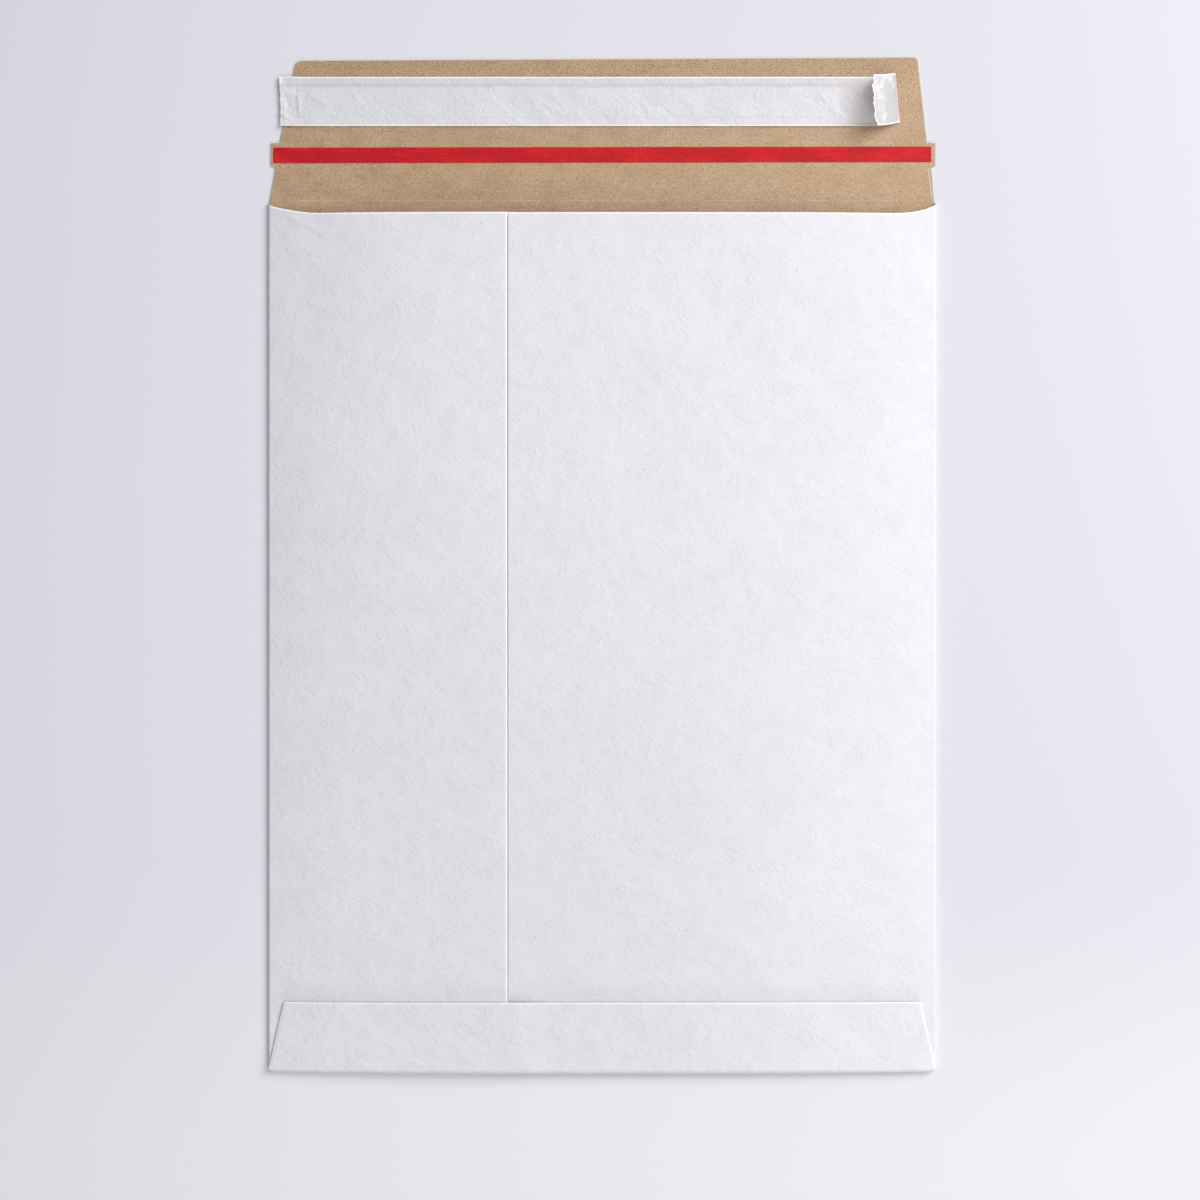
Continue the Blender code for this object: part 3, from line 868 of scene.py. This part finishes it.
def release_paper():
    look, tree, shader, place = new_look("White release paper", Specular_IOR_Level=0.45)
    broad = clouds(tree, place, 0.009, stretch=1.8, turn=0.5)
    crumple = felted(tree, place, 0.0052, turn=-0.5, seed=8.0)
    fine = felted(tree, place, 0.0012, turn=0.9, seed=2.0)
    grain = clouds(tree, place, 0.0007, stretch=1.4, detail=3.0, seed=5.0)
    where = add(tree, "ShaderNodeSeparateXYZ", {0: place}).outputs
    waver = scaled(tree, maths(tree, "SUBTRACT", broad, 0.5), 0.0016)
    up = maths(tree, "ADD", where["Y"], waver)
    top = CREASE_Y + ADHESIVE_TOP
    bare = ramp(tree, up, top - 0.0001, top + 0.0006)
    colour = tint(tree, ramp(tree, broad, 0.3, 0.7), *LINER_TONES)
    # Painted shade in the hollows of the liner's crumpled relief
    colour = over(tree, colour, SOFT_SHADE, ramp(tree, crumple, 0.55, 0.1), 0.10)
    colour = tint(tree, ramp(tree, grain, 0.50, 0.32, 0.0, 0.45), colour, (0.64, 0.632, 0.668))
    colour = over(tree, colour, (0.69, 0.650, 0.656), bare, 0.45)
    # Painted shade low in the unglued band above the adhesive, and a painted highlight along the band's edge
    # by the adhesive
    band_shade_paint = maths(tree, "MULTIPLY", bare, ramp(tree, up, top + 0.0032, top + 0.0014))
    colour = over(tree, colour, (0.57, 0.545, 0.555), band_shade_paint, 0.50)
    band_highlight_paint = maths(tree, "MULTIPLY", bare, ramp(tree, up, top + 0.0012, top + 0.0005))
    colour = over(tree, colour, (0.90, 0.89, 0.90), band_highlight_paint, 0.45)
    # Painted shadow: the liner darker and warmer beside the pull tab, fading outwards; then painted light
    # close to the tab, inside its shadow
    tab_shadow_paint = ramp(tree, where["X"], *PAINTED_TAB_SHADOW_SPAN, 0.0, 0.55)
    colour = tint(tree, tab_shadow_paint, colour, (0.650, 0.606, 0.600))
    tab_light_paint = ramp(tree, where["X"], *PAINTED_TAB_LIGHT_SPAN, 0.0, 0.70)
    colour = tint(tree, tab_light_paint, colour, (0.92, 0.855, 0.825))
    uncoated = maths(tree, "MULTIPLY", ramp(tree, where["X"], *ON_PULL_TAB),
                     ramp(tree, where["Z"], *ABOVE_LINER))
    # The pull tab's back is uncoated and greyer; painted shade darkens it towards the fold, and patches
    # painted lighter and darker stand in for the light and shade on its dimples
    tab_shade_paint = ramp(tree, where["X"], *TOWARDS_FOLD, kind="LINEAR")
    back_tone = tint(tree, tab_shade_paint, *TAB_BACK_AND_SHADE_TONES)
    tab_dimple_paint = clouds(tree, place, 0.0040, stretch=1.5, turn=1.9, detail=2.0)
    back_tone = tint(tree, ramp(tree, tab_dimple_paint, 0.50, 0.66, 0.0, 0.50), back_tone, TAB_DIMPLE_LIGHT_AND_SHADE[1])
    back_tone = tint(tree, ramp(tree, tab_dimple_paint, 0.50, 0.36, 0.0, 0.30), back_tone, TAB_DIMPLE_LIGHT_AND_SHADE[0])
    colour = tint(tree, uncoated, colour, back_tone)
    worn = edge_wear(tree, place, 0.6, 0.5)
    colour = over(tree, colour, (0.96, 0.96, 0.96), worn, 0.85)
    height = sum_of(tree, scaled(tree, fine, 1.1), scaled(tree, grain, 0.6), scaled(tree, crumple, 1.35),
                    scaled(tree, broad, 2.8))
    dressed(tree, shader, colour, (fine, 0.2, 0.6, 0.40, 0.55), height, 0.00010)
    return look


def tacky_film():
    look, tree, shader, place = new_look("Clear adhesive film", Specular_IOR_Level=0.5)
    broad = clouds(tree, place, 0.004, stretch=2.5)
    colour = tint(tree, ramp(tree, broad, 0.3, 0.7), *ADHESIVE_TONES)
    dressed(tree, shader, colour, (broad, 0.3, 0.7, 0.12, 0.3), broad, 0.00006)
    return look


def dried_glue():
    look, tree, shader, place = new_look("Dried glue", Specular_IOR_Level=0.5)
    runs = clouds(tree, place, 0.0018, stretch=5.0, turn=1.57)
    colour = tint(tree, ramp(tree, runs, 0.35, 0.7), *GLUE_TONES)
    dressed(tree, shader, colour, (runs, 0.3, 0.7, 0.25, 0.55), runs, 0.00008)
    return look


# The pieces


def make_board(white, kraft, pulp):
    """The whole blank: both panels, side folds, back, bottom flap and closing flap in one sheet."""
    shares = row_shares()
    seam_rows = [SEAM_X - step for step in (0.0003, 0.0006, 0.0009)]
    left_places = columns(-SIDE_X, SEAM_X, seam_rows)[:0:-1]
    left = [panel_line(x, left_panel_z, shares, SEAM_X - x) for x in left_places]
    left_fold = side_fold_lines(-1, LAYER, shares)[::-1]
    back_places = back_columns()
    back = [back_line(x, shares) for x in back_places]
    right_fold = side_fold_lines(1, 0, shares)
    right = [panel_line(x, right_panel_z, shares, 1) for x in columns(HIDDEN_EDGE_X, SIDE_X)[-2::-1]]
    tube = left + left_fold + back + right_fold + right
    points = [point for line in tube for point in line]
    faces = [face[::-1] for face in grid_faces(tube)]
    first_back = len(shares) * (len(left) + len(left_fold))

    wrap = [wrapped_line(x) for x in back_places]
    first_wrap = len(points)
    points += [point for line in wrap for point in line]
    faces += grid_faces(wrap, first_wrap)

    flap = [[flap_point(x, height) for height in flap_heights()] for x in back_places]
    first_flap = len(points)
    points += [point for line in flap for point in line]
    faces += [face[::-1] for face in grid_faces(flap, first_flap)]

    for i in range(len(back_places) - 1):
        here = first_back + i * len(shares)
        there = here + len(shares)
        under = first_wrap + i * len(wrap[0])
        faces.append((here, there, under + len(wrap[0]), under))
        over = first_flap + i * len(flap[0])
        faces.append((over, over + len(flap[0]), there + len(shares) - 1, there - 1))
    board = sheet("folded_board", points, faces, [white, kraft, pulp])
    thicken(board, BOARD, BOARD_EDGE_ROUND)
    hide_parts("pocket", "flap")
    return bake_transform(board)


def make_swept_strip():
    """A ribbon that follows a path: the path's points in order, and as many strands across as asked."""
    tree, given, out = new_group(
        "Strip along a path",
        {"Path": ("Geometry", None), "Width": ("Float", 0.01), "Strands": ("Int", 8),
         "Look": ("Material", None)},
        {"Strip": "Geometry"},
        "GeometryNodeTree",
    )
    half = maths(tree, "DIVIDE", given["Width"], 2.0)
    start = add(tree, "ShaderNodeCombineXYZ", {0: maths(tree, "MULTIPLY", half, -1.0)}).outputs[0]
    end = add(tree, "ShaderNodeCombineXYZ", {0: half}).outputs[0]
    across = add(tree, "GeometryNodeCurvePrimitiveLine", {"Start": start, "End": end}).outputs[0]
    across = add(tree, "GeometryNodeResampleCurve", {"Curve": across, "Count": given["Strands"]}).outputs[0]
    path = add(tree, "GeometryNodeMeshToCurve", {"Mesh": given["Path"]}).outputs[0]
    swept = add(tree, "GeometryNodeCurveToMesh", {"Curve": path, "Profile Curve": across}).outputs[0]
    real = add(tree, "GeometryNodeRealizeInstances", {"Geometry": swept}).outputs[0]
    done = add(tree, "GeometryNodeSetMaterial", {"Geometry": real, "Material": given["Look"]}).outputs[0]
    tree.links.new(done, out["Strip"])
    return tree


def make_perforations():
    """Nicks along a tear line: short raised lips, some missing, more of them missing away from the edge."""
    tree, given, out = new_group(
        "Perforations along a line",
        {"Path": ("Geometry", None), "Pitch": ("Float", 0.0022), "Length": ("Float", 0.0013),
         "Width": ("Float", 0.0002), "Missing": ("Float", 0.2), "Seed": ("Int", 1),
         "Look": ("Material", None)},
        {"Nicks": "Geometry"},
        "GeometryNodeTree",
    )
    path = add(tree, "GeometryNodeMeshToCurve", {"Mesh": given["Path"]}).outputs[0]
    evenly = {"Curve": path, "Length": given["Pitch"]}
    points = add(tree, "GeometryNodeResampleCurve", evenly, mode="LENGTH").outputs[0]
    share = add(tree, "GeometryNodeSplineParameter").outputs["Factor"]
    limit = maths(tree, "ADD", given["Missing"], maths(tree, "MULTIPLY", share, 0.45))
    chance = add(tree, "FunctionNodeRandomValue", {"Seed": given["Seed"]}, data_type="FLOAT").outputs[1]
    there = maths(tree, "GREATER_THAN", chance, limit)
    nick = add(tree, "GeometryNodeMeshUVSphere", {"Segments": 8, "Rings": 4, "Radius": 0.5}).outputs[0]
    sizes = {0: given["Length"], 1: given["Width"], 2: scaled(tree, given["Width"], 0.8)}
    size = add(tree, "ShaderNodeCombineXYZ", sizes).outputs[0]
    nick = add(tree, "GeometryNodeTransform", {"Geometry": nick, "Scale": size}).outputs[0]
    turns = {0: (0, 0, -0.09), 1: (0, 0, 0.09), "Seed": given["Seed"]}
    turn = add(tree, "FunctionNodeRandomValue", turns, data_type="FLOAT_VECTOR").outputs[0]
    growths = {0: (0.3, 0.6, 0.6), 1: (1.4, 1.2, 1.1), "Seed": given["Seed"]}
    grow = add(tree, "FunctionNodeRandomValue", growths, data_type="FLOAT_VECTOR").outputs[0]
    sown = add(tree, "GeometryNodeInstanceOnPoints", {"Points": points, "Selection": there, "Instance": nick,
                                                      "Rotation": turn, "Scale": grow}).outputs[0]
    real = add(tree, "GeometryNodeRealizeInstances", {"Geometry": sown}).outputs[0]
    done = add(tree, "GeometryNodeSetMaterial", {"Geometry": real, "Material": given["Look"]}).outputs[0]
    tree.links.new(done, out["Nicks"])
    return tree


def along_path(name, paths, tree, values):
    """Runs a node tree over paths of points, and keeps what it makes as a plain mesh."""
    points, edges = [], []
    for path in paths:
        edges += [(len(points) + i, len(points) + i + 1) for i in range(len(path) - 1)]
        points += path
    mesh = bpy.data.meshes.new(name)
    mesh.from_pydata(points, edges, [])
    made = put_in_scene(name, mesh)
    grown = made.modifiers.new("Made by rule", "NODES")
    grown.node_group = tree
    for item in tree.interface.items_tree:
        if item.in_out == "INPUT" and item.name in values:
            grown[item.identifier] = values[item.name]
    return settle(made)


def reshape(thing, rule):
    for vertex in thing.data.vertices:
        vertex.co = rule(vertex.co)


def remark_edges(thing, worn_reach=0.0004):
    """Marks a swept strip's cut edges, and turns its faces the right way up."""
    points = [vertex.co.copy() for vertex in thing.data.vertices]
    faces = [tuple(polygon.vertices) for polygon in thing.data.polygons]
    looks = list(thing.data.materials)
    if thing.data.polygons[0].normal.z < 0:
        faces = [face[::-1] for face in faces]
    name = thing.name
    bpy.data.objects.remove(thing)
    return sheet(name, points, faces, looks, worn_reach)


def make_tape(strip, red):
    level = BOARD + TRIM_GAP + TAPE_THICKNESS / 2
    path = [on_flap(x, 0, 0) for x in even(-TAPE_END_X, TAPE_END_X, 0.002)]
    tape = along_path("red_tear_tape", [path], strip, {"Width": TAPE_WIDTH, "Strands": 7, "Look": red})

    def laid(point):
        height = point.y - on_flap(0, 0, 0).y + TAPE_LOW + TAPE_WIDTH / 2
        height += TAPE_RISE * (point.x + TAPE_END_X) / (2 * TAPE_END_X)
        edge = 0.00007 * ripple(point.x, height, 0.009, 2.2)
        return on_flap(point.x, height + edge, level + flap_z(point.x, height) - BACK_Z)

    reshape(tape, laid)
    tape = thicken(remark_edges(tape), TAPE_THICKNESS, 0.00003)
    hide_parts("tear_tape")
    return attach(tape, "flap_body")


def make_adhesive(strip, film):
    level = BOARD + TRIM_GAP + ADHESIVE_THICKNESS / 2
    middle = (ADHESIVE_LOW + ADHESIVE_TOP) / 2
    path = [on_flap(x, middle, 0) for x in even(*ADHESIVE_ENDS, 0.003)]
    values = {"Width": ADHESIVE_TOP - ADHESIVE_LOW, "Strands": 6, "Look": film}
    band = along_path("adhesive_band", [path], strip, values)

    def laid(point):
        height = point.y + MIDDLE_Y - BODY_HEIGHT
        edge = 0.0002 * ripple(point.x, height, 0.006, 4.4)
        return on_flap(point.x, height + edge, level + flap_z(point.x, height) - BACK_Z)

    reshape(band, laid)
    band = thicken(remark_edges(band), ADHESIVE_THICKNESS, 0.00004)
    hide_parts("adhesive_strip")
    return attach(band, "flap_body")


def over_adhesive(x, height):
    """1 where the liner lies on the adhesive, 0 where it lies on the bare flap."""
    edge = 0.0004
    left, right = ADHESIVE_ENDS
    from_ends = smooth((x - left) / edge + 0.5) * smooth((right - x) / edge + 0.5)
    from_low = smooth((height - ADHESIVE_LOW) / edge + 0.5)
    return from_ends * from_low * smooth((ADHESIVE_TOP - height) / edge + 0.5)


def liner_path():
    """Along the liner, then round the fold and back up the pull tab."""
    path = [(x, 0) for x in even(LINER_LEFT_X, LINER_LEFT_X + 0.010, 0.0005)]
    path += [(x, 0) for x in even(LINER_LEFT_X + 0.0107, LINER_FOLD_X, 0.0007)]
    for angle in spread(0, math.pi, 11)[1:]:
        path.append((LINER_FOLD_X + PULL_TAB_LOOP * math.sin(angle), PULL_TAB_LOOP * (1 - math.cos(angle))))
    for share in spread(0, 1, 26)[1:]:
        path.append((LINER_FOLD_X - PULL_TAB_LENGTH * share, 2 * PULL_TAB_LOOP + PULL_TAB_LIFT * share**1.7))
    return path


def paper_creases():
    """The creases seen in the liner, and fainter ones strewn between them."""
    creases = list(CREASES_SEEN)
    chance = random.Random(12)
    for _ in range(FAINT_CREASES):
        x, height = chance.uniform(-0.108, 0.094), chance.uniform(0.0318, 0.0408)
        long, angle = chance.uniform(0.003, 0.012), chance.uniform(-1.2, -0.25)
        end = (x + long * math.cos(angle), max(0.0300, height + long * math.sin(angle)))
        width = chance.uniform(0.0005, 0.0010)
        rise = chance.choice((-1, 1)) * chance.uniform(0.5, 1.7) * 1e-4
        creases.append(((x, height), end, width, rise))
    return creases


def creased(x, height, creases):
    """How far the creases lift the liner here, each of them dying out towards its ends."""
    total = 0
    for (x_from, low), (x_to, high), width, rise in creases:
        if min(x_from, x_to) - 0.002 < x < max(x_from, x_to) + 0.002:
            along, up = x_to - x_from, high - low
            share = ((x - x_from) * along + (height - low) * up) / (along * along + up * up)
            share = min(max(share, 0), 1)
            away = math.hypot(x - x_from - along * share, height - low - up * share)
            total += rise * math.exp(-((away / width) ** 2)) * (1 - abs(2 * share - 1) ** 3)
    return total


def make_liner(strip, paper):
    middle = (LINER_LOW + LINER_TOP) / 2
    points = [on_flap(x, middle, z) for x, z in liner_path()]
    width = LINER_TOP - LINER_LOW
    creases = paper_creases()
    liner = along_path("release_liner_strip", [points], strip, {"Width": width, "Strands": 61, "Look": paper})

    def laid(point):
        height = point.y + MIDDLE_Y - BODY_HEIGHT
        from_low = (height - LINER_LOW) / width
        x, up = point.x, point.z
        x += LINER_FOLD_SKEW * (0.5 - from_low) * smooth((x - LINER_LEFT_X) / (LINER_FOLD_X - LINER_LEFT_X))
        from_left = x - LINER_LEFT_X
        curl, tear, pleat = [smooth(1 - from_left / far) for far in (CURL_REACH, TORN_REACH, PLEAT_REACH)]
        at_rim = smooth(abs(from_low - 0.5) * 12 - 5)
        z = LINER_LEVEL + flap_z(min(x, FLAP_EDGE_X), height) - BACK_Z
        askew = 0.0012 * smooth(1 - (LINER_FOLD_X - x) / 0.006)
        if up < 1e-7:
            torn = 0.00050 * ripple(0, height, 0.0026, 5.5) + 0.00028 * ripple(0, height, 0.0011, 8.5)
            x += tear * (0.0004 + torn)
            z -= LINER_DIP * (1 - over_adhesive(x, height)) * (1 - 0.5 * curl)
            z += 0.00014 * ripple(x, height * 1.4, 0.0085, 1.7) + creased(x, height, creases)
            z += 0.00014 * abs(ripple(x + 0.9 * height, 0.22 * (height - 0.4 * x), 0.0072, 2.7))
            z += curl * (0.00025 + 0.00035 * ripple(x, height * 1.3, 0.0062, 9.9))
            z += pleat * 0.00022 * ripple(x + 0.15 * height, 0.16 * height, 0.0017, 7.3)
            z += at_rim * (0.00034 - 0.00014 * from_low) * (1 + ripple(x, 9 * from_low, 0.021, 4.2))
            return on_flap(x, height + askew, max(z, LINER_LEVEL - LINER_LOWEST) + up)
        rise = max(0, up - 2 * PULL_TAB_LOOP)
        back = (rise / PULL_TAB_LIFT) ** 0.6
        tip = smooth(back)
        x += tip * (0.0013 * ripple(0, height, 0.0045, 3.3) + 0.0006 * ripple(0, height, 0.0014, 6.6))
        x += tip * 0.0006 * (from_low - 0.5)
        z += rise * (0.2 - 0.5 * from_low) + (0.3 + 0.7 * tip) * 0.0008 * ripple(x, height, 0.0046, 2.9)
        return on_flap(x, height + 0.0012 - back * (0.00272 - 0.00119 * from_low), z + up)

    reshape(liner, laid)
    liner = thicken(remark_edges(liner, 0.0011), LINER_THICKNESS, 0.000025, 60)
    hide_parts("release_liner")
    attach(liner, "flap_body")
    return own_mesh(liner)


def make_glue_line(name, node, xs, heights, level, look):
    """A line of glue, pressed out unevenly along its edges."""
    lines = []
    for i, x in enumerate(xs):
        ys = heights(x)
        line = []
        for j, y in enumerate(ys):
            out = GLUE_SPREAD if i in (0, len(xs) - 1) or j in (0, len(ys) - 1) else 0.0
            aside, along = ripple(x, y, 0.006, 1.1), ripple(x, y, 0.006, 2.1)
            line.append(at_table(x + out * aside, y + out * along, level(x, y)))
        lines.append(line)
    points = [point for line in lines for point in line]
    glue = thicken(sheet(name, points, grid_faces(lines), [look]), GLUE_THICKNESS, GLUE_EDGE_ROUND)
    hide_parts(node)
    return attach(glue, "pocket_body")


def make_glue(look):
    def seam_heights(x):
        return even(FOLD_Y + SEAM_GLUE_MARGIN, throat_y(x) - SEAM_GLUE_MARGIN, 0.005)

    def seam_level(x, y):
        return (left_panel_z(x, y) + right_panel_z(x, y)) / 2

    def fold_heights(x):
        far, near = FLAP_GLUE_BELOW_EDGE
        return even(BOTTOM_FLAP_HEIGHT - far, BOTTOM_FLAP_HEIGHT - near, 0.002)

    def fold_level(x, y):
        return bottom_flap_z(x, y) - LAYER / 2

    seam_places = even(*SEAM_GLUE_ENDS, 0.002)
    make_glue_line("seam_glue_line", "seam_glue", seam_places, seam_heights, seam_level, look)
    fold_places = even(-FLAP_GLUE_END_X, FLAP_GLUE_END_X, 0.003)
    make_glue_line("bottom_glue_line", "bottom_flap_glue", fold_places, fold_heights, fold_level, look)


def make_tear_lines(tree, look):
    """Two rows of nicks above and below the tape, running in from each edge and dying out."""
    paths = []
    for x_from, x_to in TEAR_LINES:
        for height in (TAPE_LOW - TEAR_LINE_BELOW, TAPE_LOW + TAPE_WIDTH + TEAR_LINE_ABOVE):
            rise = TAPE_RISE if x_from > 0 else 0
            xs = (x_from, (x_from + x_to) / 2, x_to)
            paths.append([on_flap(x, height + rise, flap_z(x, height) + BOARD / 2 + 0.00001) for x in xs])
    values = {"Pitch": 0.0017, "Length": 0.0012, "Width": 0.00030, "Missing": 0.15, "Seed": 4, "Look": look}
    nicks = along_path("tear_line_nicks", paths, tree, values)
    nicks.data.shade_smooth()
    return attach(nicks, "flap_body")


# Floor, light and camera


def make_floor():
    mesh = bpy.data.meshes.new("table")
    mesh.from_pydata([(-4, -4, 0), (4, -4, 0), (4, 4, 0), (-4, 4, 0)], [], [(0, 1, 2, 3)])
    look, tree, shader, place = new_look("Pale table", Specular_IOR_Level=0.2)
    broad = clouds(tree, place, 0.09, detail=3.0)
    along = add(tree, "ShaderNodeSeparateXYZ", {0: place}).outputs
    colour = tint(tree, broad, *TABLE_TONES)
    # Painted light and shade on the table, evening out the lamps: darker to the right, towards the window
    # lamp, and paler towards -Y
    colour = tint(tree, ramp(tree, along["X"], -0.20, 0.20), colour, (0.702, 0.699, 0.755))
    colour = over(tree, colour, (0.89, 0.885, 0.92), ramp(tree, along["Y"], -0.10, -0.23), 0.50)
    tree.links.new(colour, shader.inputs["Base Color"])
    shader.inputs["Roughness"].default_value = 0.75
    mesh.materials.append(look)
    table = put_in_scene("table", mesh)


def make_light(name, place, aim, size, power, colour):
    data = bpy.data.lights.new(name, "AREA")
    data.shape = "SQUARE"
    data.size = size
    data.energy = power
    data.color = colour
    light = put_in_scene(name, data)
    light.location = place
    light.visible_camera = False
    light.rotation_euler = (Vector(aim) - Vector(place)).to_track_quat("-Z", "Y").to_euler()


def make_lights():
    for light in LIGHTS:
        make_light(*light)
    world = bpy.data.worlds.new("Soft room")
    world.use_nodes = True
    back = world.node_tree.nodes["Background"]
    back.inputs["Color"].default_value = (0.93, 0.95, 1.0, 1)
    back.inputs["Strength"].default_value = 0.265
    bpy.context.scene.world = world
    bpy.context.scene.view_settings.view_transform = "Standard"


def make_camera():
    data = bpy.data.cameras.new("camera")
    data.lens = 85
    data.sensor_width = 36
    data.clip_start = 0.05
    camera = put_in_scene("camera", data)
    camera.location = CAMERA_PLACE
    bpy.context.scene.camera = camera


def main():
    paper = release_paper()
    kraft = kraft_inside()
    make_board(coated_board(), kraft, cut_pulp())
    strip = make_swept_strip()
    make_tape(strip, red_film())
    make_adhesive(strip, tacky_film())
    make_liner(strip, paper)
    make_glue(dried_glue())
    make_tear_lines(make_perforations(), torn_pulp())
    make_floor()
    make_lights()
    make_camera()


main()
